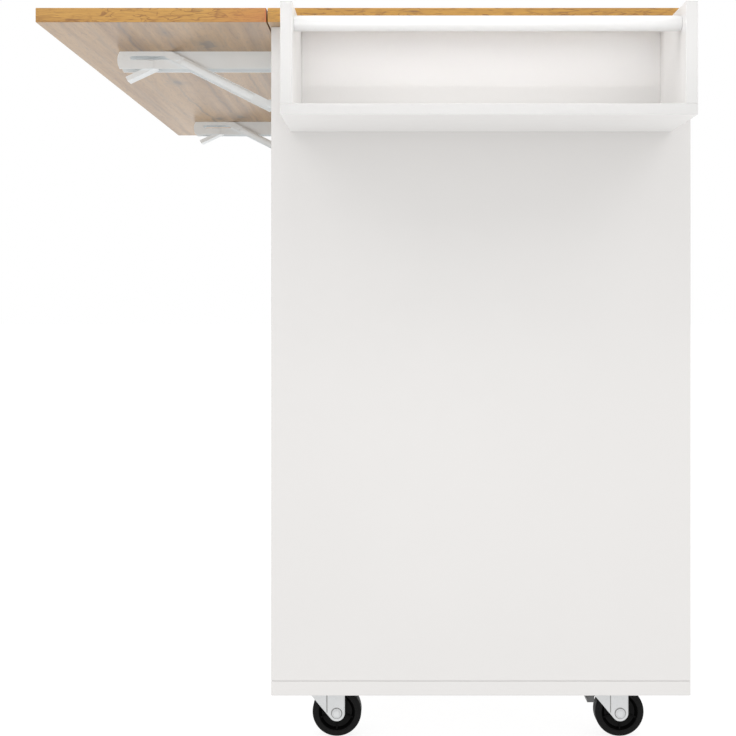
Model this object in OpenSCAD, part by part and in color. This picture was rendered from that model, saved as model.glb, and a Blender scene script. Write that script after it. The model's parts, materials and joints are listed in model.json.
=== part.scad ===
// Kitchen cart: a cabinet on swivel casters with an oak worktop, a drop leaf on two
// folding brackets, a spice rack on one side and a towel bar on the other.
// Millimetres. The pieces are drawn about the cabinet: x = 0 is the middle of its length
// with the rack at -x, y = 0 is its back face with the leaf at +y, z = 0 is the floor.
// part() then moves them so that the origin is the middle of the whole footprint.

/* [Cabinet] */
// Length between the outer faces of the side panels
body_l = 919; // [760:1:1200]
// Depth from the back face to the front edges of the side panels
body_d = 530; // [440:1:620]
// Height from the underside of the cabinet to the underside of the worktop
body_h = 845; // [700:1:900]
// Thickness of the side panels
side_t = 15; // [12:0.5:22]
// Thickness of the bottom board
bottom_t = 18.5; // [12:0.5:30]
// Thickness of the back panel
back_t = 12; // [6:0.5:18]
// Thickness of the middle divider
divider_t = 15; // [12:0.5:22]
// Thickness of the cross rails
rail_t = 20; // [15:0.5:30]
// Depth of the cross rails
rail_w = 60; // [40:1:90]
// How far the doors and drawer fronts sit behind the front edges
setback = 6; // [6:0.5:12]
// Gap round each door and drawer front
front_gap = 2; // [2:0.1:4]
// Thickness of the doors and drawer fronts
front_t = 16; // [12:0.5:22]

/* [Worktop and leaf] */
// Thickness of the worktop and of the leaf
top_t = 18; // [15:0.5:40]
// Overhang of the worktop past each side panel
top_side = 23.5; // [0:0.5:60]
// Overhang of the worktop past the back face
top_back = 2; // [0:0.5:3]
// Overhang of the worktop past the front edges
top_front = 2; // [0:0.5:10]
// Depth of the leaf
leaf_d = 287; // [240:1:400]
// Gap between the worktop and the raised leaf
leaf_gap = 1.5; // [1:0.1:3]

/* [Spice rack] */
// Depth of the rack
rack_d = 133.5; // [100:0.5:180]
// Inset of the rack from the front and back edges of the side panel
rack_inset = 24.5; // [5:0.5:80]
// Gap between the worktop and the end boards
rack_top_gap = 1.5; // [1:0.5:20]
// Height of the end boards
rack_end_h = 118.3; // [80:0.1:200]
// Thickness of the end boards
rack_end_t = 14; // [10:0.5:22]
// Thickness of the rack shelf
rack_shelf_t = 13; // [10:0.5:22]
// Diameter of the guard bar and of the towel bar
bar_d = 18; // [10:0.5:25]
// Guard bar centre behind the front edges of the end boards
bar_back = 25; // [16:0.5:40]
// Guard bar centre below the top of the end boards
bar_down = 20.5; // [14:0.5:40]

/* [Towel bar] */
// Reach of the towel bar's end brackets
towel_reach = 60; // [45:1:90]
// Height of the towel bar's end brackets
towel_h = 42; // [36:1:70]
// Thickness of the towel bar's end brackets
towel_t = 14; // [10:0.5:22]
// Distance between the outer faces of the end brackets
towel_l = 400; // [250:1:430]
// Bar centre below the worktop
towel_down = 60; // [40:1:150]

/* [Folding brackets] */
// Near bracket's middle from the rack end of the leaf
bracket_in = 181; // [100:1:240]
// Distance between the two brackets
bracket_pitch = 620; // [400:1:700]
// Width of the arm
arm_w = 26; // [22:0.5:40]
// Height of the arm
arm_h = 24; // [22:0.5:26]
// Sheet thickness of the arm
arm_t = 1.5; // [1:0.1:2]
// Arm beyond its slot pin when folded
arm_nose = 20.7; // [14:0.1:40]
// Arm behind its hinge
arm_heel = 8; // [6:0.5:9]
// Radius of the arm's outer end
arm_end_r = 24; // [14:0.5:60]
// Hinge pin's distance from the back face
hinge_y = 12; // [12:0.5:18]
// Hinge pin above the arm's lower edge
hinge_up = 4; // [4:0.5:6]
// Radius of the hinge pins, rivets and slot pins
pin_r = 2.5; // [2:0.1:3]
// Slot line below the leaf
slot_down = 9; // [8:0.5:10]
// Slot pin's distance from the hinge with the leaf up
slot_pin = 132.5; // [115:0.5:140]
// Brace pivot below the hinge
brace_drop = 53; // [48:0.5:65]
// Brace pivot's distance from the back face
brace_y = 17; // [15:0.5:20]
// Height of the brace plates
brace_w = 11; // [9:0.5:14]
// How far the plates' middle line runs below their pins
brace_low = 1.5; // [0:0.1:1.8]
// Sheet thickness of the brace plates and wall ears
brace_t = 2; // [1.5:0.1:3]
// Brace plates beyond their end pin
brace_nose = 17; // [10:0.5:18]
// Gap between the arm's faces and the brace plates
brace_gap = 1.2; // [1.2:0.1:2]
// Gap between the brace plates and the wall ears
ear_gap = 0.4; // [0.3:0.1:1]
// Depth of the wall channel's ears
ear_d = 12; // [8:0.5:14]

/* [Release levers] */
// Lever pivot's distance from the hinge
lever_out = 169; // [155:1:175]
// Lever pivot above the arm's lower edge
lever_up = 6; // [5.5:0.5:6.5]
// Length of the lever's tongue
lever_l = 40; // [30:0.5:45]
// Slope of the tongue below the arm
lever_tilt = 25; // [15:1:28]
// Height of the rims along the tongue
lever_rim = 6.4; // [4:0.1:7]
// Thickness of the lever's sheet
lever_t = 2.2; // [1.5:0.1:3]

/* [Doors and drawers] */
// Height of the drawer fronts
drawer_h = 136; // [110:1:180]
// Depth of the drawer boxes
drawer_box_d = 420; // [300:1:420]
// Height of the drawer box sides
drawer_side_h = 96; // [60:1:100]
// Drawer box above the rail
drawer_lift = 14; // [8:1:20]
// Thickness of the drawer box boards
drawer_t = 12; // [9:0.5:16]
// Thickness of the drawer bottoms
drawer_floor_t = 5; // [3:0.5:8]
// Depth of the groove that holds the drawer bottom
groove_d = 5; // [3:0.5:7]
// Room for a runner at each side of a drawer box
runner_room = 13; // [12.5:0.1:16]
// Height of a runner
runner_h = 36; // [28:1:46]
// Sheet thickness of the runners
runner_t = 1.5; // [1:0.1:2]
// Length of the runners
runner_l = 400; // [280:1:410]
// Width of the frame round a door's recessed panel
door_frame = 62; // [40:1:90]
// Depth of that recess
door_recess = 6; // [3:0.5:8]
// Length of a door hinge
hinge_l = 50; // [36:1:80]
// Door hinge from the top and the bottom of the door
hinge_in = 70; // [40:1:150]
// Radius of the door hinge's knuckle
knuckle_r = 2.7; // [2.3:0.1:2.8]
// Radius of the door hinge's pin
hinge_pin_r = 1.4; // [1:0.1:1.6]
// Reach of a knob from its front
knob_reach = 26; // [20:0.5:40]
// Radius of a knob
knob_r = 15; // [10:0.5:20]
// Knob's distance from the free edge of a door
knob_in = 31; // [22:1:60]
// Knob below the top of a door
knob_down = 80; // [40:1:200]

/* [Shelf] */
// Underside of the inner shelf above the bottom board
shelf_up = 320; // [120:1:420]
// Thickness of the inner shelf
shelf_t = 16; // [12:0.5:25]
// Depth of the inner shelf
shelf_d = 470; // [300:1:480]
// Gap between the shelf and the walls beside it
shelf_gap = 1; // [0.5:0.1:3]
// Radius of a shelf pin
shelf_pin_r = 2.5; // [2:0.1:4]
// Length of a shelf pin in front of its wall
shelf_pin_l = 11; // [7:0.5:16]
// Shelf pin from the front and back edges of the shelf
shelf_pin_in = 40; // [20:1:120]

/* [Casters] */
// Overall height of a caster
caster_h = 80; // [79:0.5:110]
// Radius of a wheel
wheel_r = 32.5; // [28:0.5:32.5]
// Width of a wheel
wheel_w = 22; // [18:0.5:28]
// Offset of the axle from the swivel pin
trail = 21; // [18:0.5:24]
// Radius of the axle
axle_r = 4; // [3:0.1:5]
// Radius of the axle's heads
axle_head_r = 6.3; // [6:0.1:8]
// Radius of the fork's rounded end
fork_r = 10.8; // [9:0.1:13]
// Lean of the fork's rear edge from upright
fork_lean = 40; // [32:1:42]
// Thickness of the fork's sheet
fork_t = 2.2; // [1.5:0.1:3]
// Gap between the wheel and the fork
fork_gap = 1.5; // [0.8:0.1:3]
// Swivel pin from the back edge of the cabinet
caster_back = 58; // [50:1:120]
// Swivel pin from the front edge of the cabinet
caster_front = 96; // [60:1:140]
// Swivel pin from the outer face of the side panel
caster_side = 90; // [50:1:160]
// Length of the mounting plate
plate_l = 72; // [60:1:90]
// Width of the mounting plate
plate_w = 52; // [50:1:70]
// Thickness of the mounting plate
plate_t = 2.5; // [2:0.1:4]
// Radius of the swivel race
race_r = 24; // [18:0.5:25]
// Radius of the swivel pin
swivel_r = 5; // [4:0.1:6]
// Spokes on each face of a wheel
spokes = 5; // [3:1:9]

/* [Brakes] */
// Brake pivot behind the swivel pin
brake_y = 5; // [4:0.5:6]
// Brake pivot above the axle
brake_up = 28.5; // [28:0.5:29.5]
// Length of the brake pedal from its pivot
pedal_l = 21; // [17:0.5:26]
// Slope of the pedal below level
pedal_tilt = 34; // [25:1:40]
// Thickness of the pedal
pedal_t = 3.4; // [2.5:0.1:4]

/* [Hidden] */
$fn = 64;

WHITE = [0.93, 0.93, 0.92];
INSIDE = [0.88, 0.88, 0.87];
OAK = [0.82, 0.63, 0.36];
STEEL = [0.80, 0.80, 0.78];
FORK = [0.78, 0.79, 0.80];
RUBBER = [0.13, 0.13, 0.13];
BRAKE = [0.36, 0.36, 0.36];

// Clearances
eps = 1;              // overrun of a cutting tool
loose = 0.3;          // between pieces that move past each other
run_fit = 0.05;       // radial play of a pin in its bore

// Cabinet
half_l = body_l / 2;
in_x = half_l - side_t;
div_x = divider_t / 2;
floor_z = caster_h + bottom_t;
top_z = caster_h + body_h;
rail_z = top_z - rail_t;
face_y = setback - body_d;
face_back_y = face_y + front_t;
drawer_z = rail_z - front_gap - drawer_h;
bay_top_z = drawer_z - front_gap;
door_z = floor_z + front_gap;
door_h = bay_top_z - rail_t - front_gap - door_z;
door_x = in_x - front_gap;
door_w = door_x - div_x - front_gap;

// Worktop and leaf
top_half_l = half_l + top_side;
leaf_y = top_back + leaf_gap;

// Rack
rack_z1 = top_z - rack_top_gap;
rack_z0 = rack_z1 - rack_end_h;
rack_x = -half_l - rack_d;
rack_y0 = rack_inset - body_d;
rack_y1 = -rack_inset;

// Towel bar
towel_y = -body_d / 2;
towel_z = top_z - towel_down;
towel_out = towel_reach - towel_h / 2;

// Folding bracket, in its own plane: y from the back face, z from the floor
hinge_down = arm_h - hinge_up;
slot_rise = hinge_down - slot_down;
brace_out = hinge_y + slot_pin - brace_y;
hinge_z = top_z - hinge_down;
brace_l = norm([brace_out, brace_drop + slot_rise]);
brace_tilt = atan2(brace_drop + slot_rise, brace_out);
slot_pin_folded = brace_drop + sqrt(pow(brace_l, 2) - pow(hinge_y + slot_rise - brace_y, 2));
arm_out = slot_pin_folded + arm_nose;
brace_x = arm_w / 2 + brace_gap;
ear_x = brace_x + brace_t + ear_gap;
channel_x = ear_x + brace_t;
pin_end_x = brace_x - loose;
rivet_head_r = pin_r + 1.5;
rivet_head_t = 1.2;
near_x = bracket_in - top_half_l;
far_x = near_x + bracket_pitch;
channel_low = brace_drop + 16;
hinge_lug_r = pin_r + 2;

// Casters, from the swivel pin
fork_z = caster_h - 10;
fork_x = wheel_w / 2 + fork_gap + fork_t;
axle_head_t = 2;
race_h = 4.7;
caster_front_y = caster_front - body_d;
caster_x = half_l - caster_side;
brake_z = wheel_r + brake_up;

// Middle of the footprint
reach_rack = max(half_l + rack_d, top_half_l);
reach_towel = max(half_l + towel_reach, top_half_l);
reach_front = body_d + max(knob_reach - setback, top_front);
reach_back = leaf_y + leaf_d;
shift_x = (reach_rack - reach_towel) / 2;
shift_y = (reach_front - reach_back) / 2;

// Common forms

module part(shade) {
    color(shade) translate([shift_x, shift_y, 0]) children();
}

// A board between two opposite corners
module board(low, high) {
    translate(low) cube(high - low);
}

// An outline drawn in (y, z), made solid from x0 to x1
module along_x(x0, x1) {
    translate([x0, 0, 0]) rotate([90, 0, 90]) linear_extrude(x1 - x0) children();
}

// An outline drawn in (x, z), made solid from y0 to y1
module along_y(y0, y1) {
    translate([0, y1, 0]) rotate([90, 0, 0]) linear_extrude(y1 - y0) children();
}

// A round bar along x or y through a point
module rod_x(r, x0, x1, y, z) {
    translate([x0, y, z]) rotate([0, 90, 0]) cylinder(r = r, h = x1 - x0);
}

module rod_y(r, y0, y1, x, z) {
    translate([x, y0, z]) rotate([-90, 0, 0]) cylinder(r = r, h = y1 - y0);
}

// Both sides of the plane x = 0
module both() {
    children();
    mirror([1, 0, 0]) children();
}

// The bay on the rack side, or its mirror image on the towel side
module bay(right) {
    if (right) mirror([1, 0, 0]) children();
    else children();
}

// Cabinet

module worktop() {
    part(OAK) board([-top_half_l, -body_d - top_front, top_z], [top_half_l, top_back, top_z + top_t]);
}

module side_panel() {
    board([-half_l, -body_d, floor_z], [-in_x, 0, top_z]);
}

module side_rack() {
    part(WHITE) side_panel();
}

module side_towel() {
    part(WHITE) mirror([1, 0, 0]) side_panel();
}

module bottom_board() {
    part(WHITE) board([-half_l, -body_d, caster_h], [half_l, 0, floor_z]);
}

module back_panel() {
    part(WHITE) board([-in_x, -back_t, floor_z], [in_x, 0, top_z]);
}

module divider() {
    part(WHITE) board([-div_x, -body_d + setback, floor_z], [div_x, -back_t, rail_z]);
}

module top_rails() {
    part(WHITE) {
        board([-in_x, -body_d, rail_z], [in_x, -body_d + rail_w, top_z]);
        board([-in_x, -back_t - rail_w, rail_z], [in_x, -back_t, top_z]);
    }
}

module drawer_rails() {
    part(WHITE) both() board([-in_x, face_y, bay_top_z - rail_t], [-div_x, face_y + rail_w, bay_top_z]);
}

shelf_z = floor_z + shelf_up;
shelf_x0 = -in_x + shelf_gap;
shelf_x1 = -div_x - shelf_gap;
shelf_y1 = -back_t - shelf_gap;
shelf_y0 = shelf_y1 - shelf_d;
shelf_pad_t = 1.5;

module shelves() {
    part(INSIDE) both() board([shelf_x0, shelf_y0, shelf_z], [shelf_x1, shelf_y1, shelf_z + shelf_t]);
}

// A pin with a flat pad, standing out of a wall at x towards +x
module shelf_pin(x, y) {
    rod_x(shelf_pin_r, x, x + shelf_pin_l, y, shelf_z - shelf_pad_t - shelf_pin_r);
    board([x, y - 2 * shelf_pin_r, shelf_z - shelf_pad_t - shelf_pin_r],
          [x + shelf_pin_l, y + 2 * shelf_pin_r, shelf_z]);
}

module shelf_pins() {
    part(STEEL) both() for (y = [shelf_y0 + shelf_pin_in, shelf_y1 - shelf_pin_in]) {
        shelf_pin(-in_x, y);
        translate([-div_x, 0, 0]) mirror([1, 0, 0]) shelf_pin(0, y);
    }
}

// Spice rack

module rack_end(y) {
    board([rack_x, y, rack_z0], [-half_l, y + rack_end_t, rack_z1]);
}

module rack_end_front() {
    part(WHITE) rack_end(rack_y0);
}

module rack_end_back() {
    part(WHITE) rack_end(rack_y1 - rack_end_t);
}

module rack_shelf() {
    part(WHITE) board([rack_x, rack_y0, rack_z0 - rack_shelf_t], [-half_l, rack_y1, rack_z0]);
}

module rack_bar() {
    part(WHITE) rod_y(bar_d / 2, rack_y0 + rack_end_t, rack_y1 - rack_end_t,
                      rack_x + bar_back, rack_z1 - bar_down);
}

// Towel bar: two half-round ended brackets and a bar between them

module towel_end(y) {
    along_y(y, y + towel_t) {
        translate([half_l, towel_z - towel_h / 2]) square([towel_out, towel_h]);
        translate([half_l + towel_out, towel_z]) circle(r = towel_h / 2);
    }
}

module towel_end_front() {
    part(WHITE) towel_end(towel_y - towel_l / 2);
}

module towel_end_back() {
    part(WHITE) towel_end(towel_y + towel_l / 2 - towel_t);
}

module towel_bar() {
    part(WHITE) rod_y(bar_d / 2, towel_y - towel_l / 2 + towel_t, towel_y + towel_l / 2 - towel_t,
                      half_l + towel_out, towel_z);
}

// Drop leaf

module leaf() {
    part(OAK) board([-top_half_l, leaf_y, top_z], [top_half_l, leaf_y + leaf_d, top_z + top_t]);
}

// Side view of the arm, from its hinge pin: flat behind, bowed at the outer end
module arm_outline() {
    translate([-arm_heel, -hinge_up]) square([arm_heel + arm_out - arm_end_r, arm_h]);
    intersection() {
        translate([arm_out - arm_end_r, -hinge_up]) square([arm_end_r, arm_h]);
        translate([arm_out - arm_end_r, hinge_down - arm_h / 2]) circle(r = arm_end_r);
    }
}

// The slot that the brace's pin travels along
module slot_outline() {
    r = pin_r + loose;
    for (y = [slot_pin, slot_pin_folded]) translate([y, slot_rise]) circle(r = r);
    translate([slot_pin, slot_rise - r]) square([slot_pin_folded - slot_pin, 2 * r]);
}

// Channel open below, with a slot and two pivot bores in each side
module arm() {
    side = arm_w / 2;
    translate([0, hinge_y, hinge_z]) difference() {
        along_x(-side, side) arm_outline();
        board([-side + arm_t, -arm_heel - eps, -hinge_up - eps],
              [side - arm_t, arm_out + eps, hinge_down - arm_t]);
        along_x(-side - eps, side + eps) slot_outline();
        rod_x(pin_r + run_fit, -side - eps, side + eps, 0, 0);
        rod_x(lever_pin_r + run_fit, -side - eps, side + eps, lever_out, lever_up - hinge_up);
    }
}

module arm_near() {
    part(STEEL) translate([near_x, 0, 0]) arm();
}

module arm_far() {
    part(STEEL) translate([far_x, 0, 0]) arm();
}

// Wall channel: a base on the back face, an ear at each side with a lug at the hinge and
// one at the brace pivot, the hinge pin and a short rivet for each brace plate.
module ear_outline() {
    translate([0, hinge_z - channel_low]) square([ear_d, channel_low + hinge_lug_r]);
    for (lug = [[hinge_y, hinge_z, hinge_lug_r], [brace_y, hinge_z - brace_drop, brace_w / 2]]) {
        translate([0, lug[1] - lug[2]]) square([lug[0], 2 * lug[2]]);
        translate([lug[0], lug[1]]) circle(r = lug[2]);
    }
}

module wall_channel() {
    board([-channel_x, 0, hinge_z - channel_low], [channel_x, brace_t, hinge_z + hinge_lug_r]);
    both() {
        along_x(ear_x, channel_x) ear_outline();
        rod_x(pin_r, pin_end_x, channel_x + eps, brace_y, hinge_z - brace_drop);
        for (pin = [[hinge_y, hinge_z], [brace_y, hinge_z - brace_drop]])
            rod_x(rivet_head_r, channel_x, channel_x + rivet_head_t, pin[0], pin[1]);
    }
    rod_x(pin_r, -channel_x - eps, channel_x + eps, hinge_y, hinge_z);
}

module wall_channel_near() {
    part(STEEL) translate([near_x, 0, 0]) wall_channel();
}

module wall_channel_far() {
    part(STEEL) translate([far_x, 0, 0]) wall_channel();
}

// Brace: one plate at each side of the arm, its outer end cut upright, and level just
// below the leaf
module brace_outline() {
    intersection() {
        rotate(brace_tilt) {
            circle(r = brace_w / 2);
            translate([0, -brace_w / 2 - brace_low]) square([brace_l + 2 * brace_nose, brace_w]);
        }
        translate([-brace_w, -brace_w])
            square([brace_w + brace_out + brace_nose, brace_w + brace_drop + hinge_down - 2 * loose]);
    }
}

module brace() {
    both() difference() {
        union() {
            translate([0, brace_y, hinge_z - brace_drop])
                along_x(brace_x, brace_x + brace_t) brace_outline();
            rod_x(rivet_head_r, brace_x, brace_x + brace_t + rivet_head_t,
                  hinge_y + slot_pin, hinge_z + slot_rise);
        }
        rod_x(pin_r + run_fit, brace_x - eps, channel_x, brace_y, hinge_z - brace_drop);
    }
}

module brace_near() {
    part(STEEL) translate([near_x, 0, 0]) brace();
}

module brace_far() {
    part(STEEL) translate([far_x, 0, 0]) brace();
}

// The pin that ties the brace plates through the arm's slots
module slot_pin_part() {
    rod_x(pin_r, -pin_end_x, pin_end_x, hinge_y + slot_pin, hinge_z + slot_rise);
}

module slot_pin_near() {
    part(STEEL) translate([near_x, 0, 0]) slot_pin_part();
}

module slot_pin_far() {
    part(STEEL) translate([far_x, 0, 0]) slot_pin_part();
}

// Release lever: a rimmed tongue hung inside the arm that comes out below it, a pivot pin
// and a thin lug on each outer face of the arm.
lever_pin_r = 2;
lever_ear_r = 4.6;
lever_drop = 4;
lug_w = 6.4;
lug_h = 5.4;
lever_x = arm_w / 2 - arm_t - loose;

module lever_side_outline() {
    circle(r = lever_ear_r);
    rotate(-lever_tilt) translate([-lever_ear_r, -lever_drop - lever_t])
        square([lever_l + lever_ear_r, lever_rim]);
}

module lever() {
    translate([0, hinge_y + lever_out, hinge_z - hinge_up + lever_up]) {
        both() {
            along_x(lever_x - lever_t, lever_x) lever_side_outline();
            along_x(arm_w / 2 + loose, pin_end_x)
                translate([-lug_w / 2, -lug_h]) square([lug_w, 2 * lug_h]);
        }
        rod_x(lever_pin_r, -pin_end_x, pin_end_x, 0, 0);
        along_x(-lever_x, lever_x) rotate(-lever_tilt)
            translate([-lever_ear_r, -lever_drop - lever_t]) square([lever_l + lever_ear_r, lever_t]);
    }
}

module lever_near() {
    part(STEEL) translate([near_x, 0, 0]) lever();
}

module lever_far() {
    part(STEEL) translate([far_x, 0, 0]) lever();
}

// Drawer runners: an outer channel on the wall and an inner one on the drawer box

runner_y1 = face_back_y + runner_l;
box_x0 = -in_x + runner_room;
box_x1 = -div_x - runner_room;
box_z0 = bay_top_z + drawer_lift;
box_z1 = box_z0 + drawer_side_h;
runner_z = box_z0 + drawer_side_h / 2;

// Channel with its web at x = 0, open towards +x
module channel_outline(h, d) {
    difference() {
        translate([0, -h / 2]) square([d, h]);
        translate([runner_t, runner_t - h / 2]) square([d, h - 2 * runner_t]);
    }
}

module runner_fixed(x) {
    translate([x, 0, runner_z]) along_y(face_back_y + loose, runner_y1)
        channel_outline(runner_h, runner_room - 2 * loose);
}

module runner_moving(x) {
    translate([x, 0, runner_z]) mirror([1, 0, 0]) along_y(face_back_y, runner_y1 - loose)
        channel_outline(runner_h - 2 * (runner_t + loose), runner_room - runner_t - loose);
}

module runners_fixed() {
    part(STEEL) both() {
        runner_fixed(-in_x);
        translate([-div_x, 0, 0]) mirror([1, 0, 0]) runner_fixed(0);
    }
}

module drawer_runners(right) {
    part(STEEL) bay(right) {
        runner_moving(box_x0);
        translate([box_x1, 0, 0]) mirror([1, 0, 0]) runner_moving(0);
    }
}

// Drawers

module drawer_front(right) {
    part(WHITE) bay(right) board([-door_x, face_y, drawer_z], [door_w - door_x, face_back_y, drawer_z + drawer_h]);
}

// Two grooved sides, a back and a bottom let into them
module drawer_box(right) {
    y1 = face_back_y + drawer_box_d;
    floor_low = box_z0 + groove_d;
    part(INSIDE) bay(right) {
        for (x = [box_x0, box_x1 - drawer_t]) difference() {
            board([x, face_back_y, box_z0], [x + drawer_t, y1, box_z1]);
            board([box_x0 + drawer_t - groove_d, face_back_y - eps, floor_low],
                  [box_x1 - drawer_t + groove_d, y1 + eps, floor_low + drawer_floor_t]);
        }
        board([box_x0 + drawer_t, y1 - drawer_t, floor_low + drawer_floor_t], [box_x1 - drawer_t, y1, box_z1]);
        board([box_x0 + drawer_t - groove_d, face_back_y, floor_low],
              [box_x1 - drawer_t + groove_d, y1, floor_low + drawer_floor_t]);
    }
}

// Turned knob on the plane y = 0, pointing to -y: a foot, a waist and a flat dome
knob_foot = 0.55;     // shares of the knob's radius
knob_waist = 0.4;
knob_top = 0.75;
knob_lip = 0.62;      // shares of its reach
knob_edge = 0.77;
knob_foot_h = 2;
knob_flare = 3;
knob_cove = 4;
knob_cap = 1.2;

module knob() {
    foot = knob_r * knob_foot;
    waist = knob_r * knob_waist;
    lip = knob_reach * knob_lip;
    rotate([90, 0, 0]) rotate_extrude() polygon([
        [0, 0], [foot, 0], [foot, knob_foot_h], [waist, knob_foot_h + knob_flare],
        [waist, lip - knob_cove], [knob_r, lip], [knob_r, knob_reach * knob_edge],
        [knob_r * knob_top, knob_reach - knob_cap], [0, knob_reach]
    ]);
}

module drawer_knob(right) {
    part(FORK) bay(right) translate([-door_x + door_w / 2, face_y, drawer_z + drawer_h / 2]) knob();
}

module drawer_left_front() { drawer_front(false); }
module drawer_left_box() { drawer_box(false); }
module drawer_left_knob() { drawer_knob(false); }
module drawer_left_runners() { drawer_runners(false); }
module drawer_right_front() { drawer_front(true); }
module drawer_right_box() { drawer_box(true); }
module drawer_right_knob() { drawer_knob(true); }
module drawer_right_runners() { drawer_runners(true); }

// Doors, hinged at the side panels

hinge_x = -in_x + knuckle_r + loose;
door_hinge_y = face_y - knuckle_r - loose;
hinge_leaf_t = (front_gap - loose) / 2;
hinge_leaf_d = 13;
hinge_zs = [door_z + hinge_in, door_z + door_h - hinge_in - hinge_l];

// Slab with a recessed panel on its face
module door(right) {
    part(WHITE) bay(right) difference() {
        board([-door_x, face_y, door_z], [door_w - door_x, face_back_y, door_z + door_h]);
        board([door_frame - door_x, face_y - eps, door_z + door_frame],
              [door_w - door_x - door_frame, face_y + door_recess, door_z + door_h - door_frame]);
    }
}

// A third of a hinge's knuckle, counted from its lower end
module knuckle(z, third) {
    h = hinge_l / 3 - loose;
    translate([hinge_x, door_hinge_y, z + third * hinge_l / 3 + loose / 2]) cylinder(r = knuckle_r, h = h);
}

// Leaf plate of a hinge, from its knuckle back along y
module hinge_plate(x, z0, z1) {
    board([x, door_hinge_y, z0], [x + hinge_leaf_t, face_y + hinge_leaf_d, z1]);
}

module door_hinges_fixed() {
    third = hinge_l / 3;
    part(STEEL) both() for (z = hinge_zs) {
        translate([hinge_x, door_hinge_y, z]) cylinder(r = hinge_pin_r, h = hinge_l);
        for (end = [0, 2]) {
            knuckle(z, end);
            hinge_plate(-in_x, z + end * third + loose / 2, z + (end + 1) * third - loose / 2);
        }
        board([-in_x, face_y + loose, z + loose / 2], [-in_x + hinge_leaf_t, face_y + hinge_leaf_d, z + hinge_l - loose / 2]);
    }
}

module door_hinges(right) {
    third = hinge_l / 3;
    part(STEEL) bay(right) for (z = hinge_zs) difference() {
        union() {
            knuckle(z, 1);
            hinge_plate(-door_x - hinge_leaf_t, z + third + loose / 2, z + 2 * third - loose / 2);
            board([-door_x - hinge_leaf_t, face_y + loose, z + loose / 2],
                  [-door_x, face_y + hinge_leaf_d, z + hinge_l - loose / 2]);
        }
        translate([hinge_x, door_hinge_y, z]) cylinder(r = hinge_pin_r + run_fit, h = hinge_l);
    }
}

module door_knob(right) {
    part(FORK) bay(right) translate([door_w - door_x - knob_in, face_y, door_z + door_h - knob_down]) knob();
}

module door_left() { door(false); }
module door_left_hinges() { door_hinges(false); }
module door_left_knob() { door_knob(false); }
module door_right() { door(true); }
module door_right_hinges() { door_hinges(true); }
module door_right_knob() { door_knob(true); }

// Casters. Every caster stands at its swivel pin and trails towards the front.

module at_caster(side, front) {
    translate([side * caster_x, front ? caster_front_y : -caster_back, 0]) children();
}

// Mounting plate with a pressed race and the swivel pin below it
module caster_plate() {
    race_top = caster_h - plate_t;
    race_low = fork_z + race_h + loose;
    head_top = fork_z - fork_t - loose;
    board([-plate_w / 2, -plate_l / 2, race_top], [plate_w / 2, plate_l / 2, caster_h]);
    translate([0, 0, race_low]) cylinder(r = race_r - 2, h = race_top - race_low);
    translate([0, 0, head_top - 2]) cylinder(r = swivel_r, h = race_low - head_top + 3);
    translate([0, 0, head_top - 2]) cylinder(r = swivel_r + 3, h = 2);
}

module caster_plates() {
    part(FORK) for (side = [-1, 1]) for (front = [false, true]) at_caster(side, front) caster_plate();
}

// Side view of the fork from the swivel pin: round at the axle, upright in front,
// leaning back to the race behind
module fork_outline() {
    low = [fork_r * cos(fork_lean) - trail, wheel_r - fork_r * sin(fork_lean)];
    back = low[0] + (fork_z - low[1]) * tan(fork_lean);
    translate([-trail, wheel_r]) circle(r = fork_r);
    polygon([[-trail, wheel_r], [-trail - fork_r, wheel_r], [-trail - fork_r, fork_z],
             [back, fork_z], low]);
}

module fork(braked) {
    back = fork_r * cos(fork_lean) - trail
        + (fork_z - wheel_r + fork_r * sin(fork_lean)) * tan(fork_lean);
    difference() {
        union() {
            both() along_x(fork_x - fork_t, fork_x) fork_outline();
            board([-fork_x, -trail - fork_r, fork_z - fork_t], [fork_x, back, fork_z]);
            translate([0, 0, fork_z - fork_t]) cylinder(r = race_r, h = fork_t + race_h);
            rod_x(axle_r, -fork_x, fork_x, -trail, wheel_r);
            both() rod_x(axle_head_r, fork_x, fork_x + axle_head_t, -trail, wheel_r);
        }
        translate([0, 0, fork_z - fork_t - eps]) cylinder(r = swivel_r + run_fit, h = fork_t + race_h + 2 * eps);
        if (braked) rod_x(brake_pin_r + run_fit, -fork_x - eps, fork_x + eps, brake_y, brake_z);
    }
}

module fork_rack_front() { part(FORK) at_caster(-1, true) fork(true); }
module fork_rack_back() { part(FORK) at_caster(-1, false) fork(false); }
module fork_towel_front() { part(FORK) at_caster(1, true) fork(true); }
module fork_towel_back() { part(FORK) at_caster(1, false) fork(false); }

// Wheel: rounded tread, a dished face with spokes on each side, a hub with the axle's bore
tread_round = 3.5;
rim_r = 24;
hub_r = 9;
dish = 3;

module wheel() {
    half = wheel_w / 2;
    translate([0, -trail, wheel_r]) rotate([0, 90, 0]) difference() {
        union() {
            rotate_extrude() difference() {
                union() {
                    translate([0, -half]) square([wheel_r - tread_round, wheel_w]);
                    translate([0, -half + tread_round]) square([wheel_r, wheel_w - 2 * tread_round]);
                    for (y = [-1, 1]) translate([wheel_r - tread_round, y * (half - tread_round)])
                        circle(r = tread_round);
                }
                translate([-wheel_r, -wheel_w]) square([wheel_r, 2 * wheel_w]);
                for (y = [-half - eps, half - dish])
                    translate([hub_r, y]) square([rim_r - hub_r, dish + eps]);
            }
            for (i = [0:spokes - 1]) rotate(i * 360 / spokes)
                translate([hub_r - eps, -1, 1 - half]) cube([rim_r - hub_r + 2 * eps, 2, wheel_w - 2]);
        }
        translate([0, 0, -wheel_w]) cylinder(r = axle_r + run_fit, h = 2 * wheel_w);
    }
}

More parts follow.
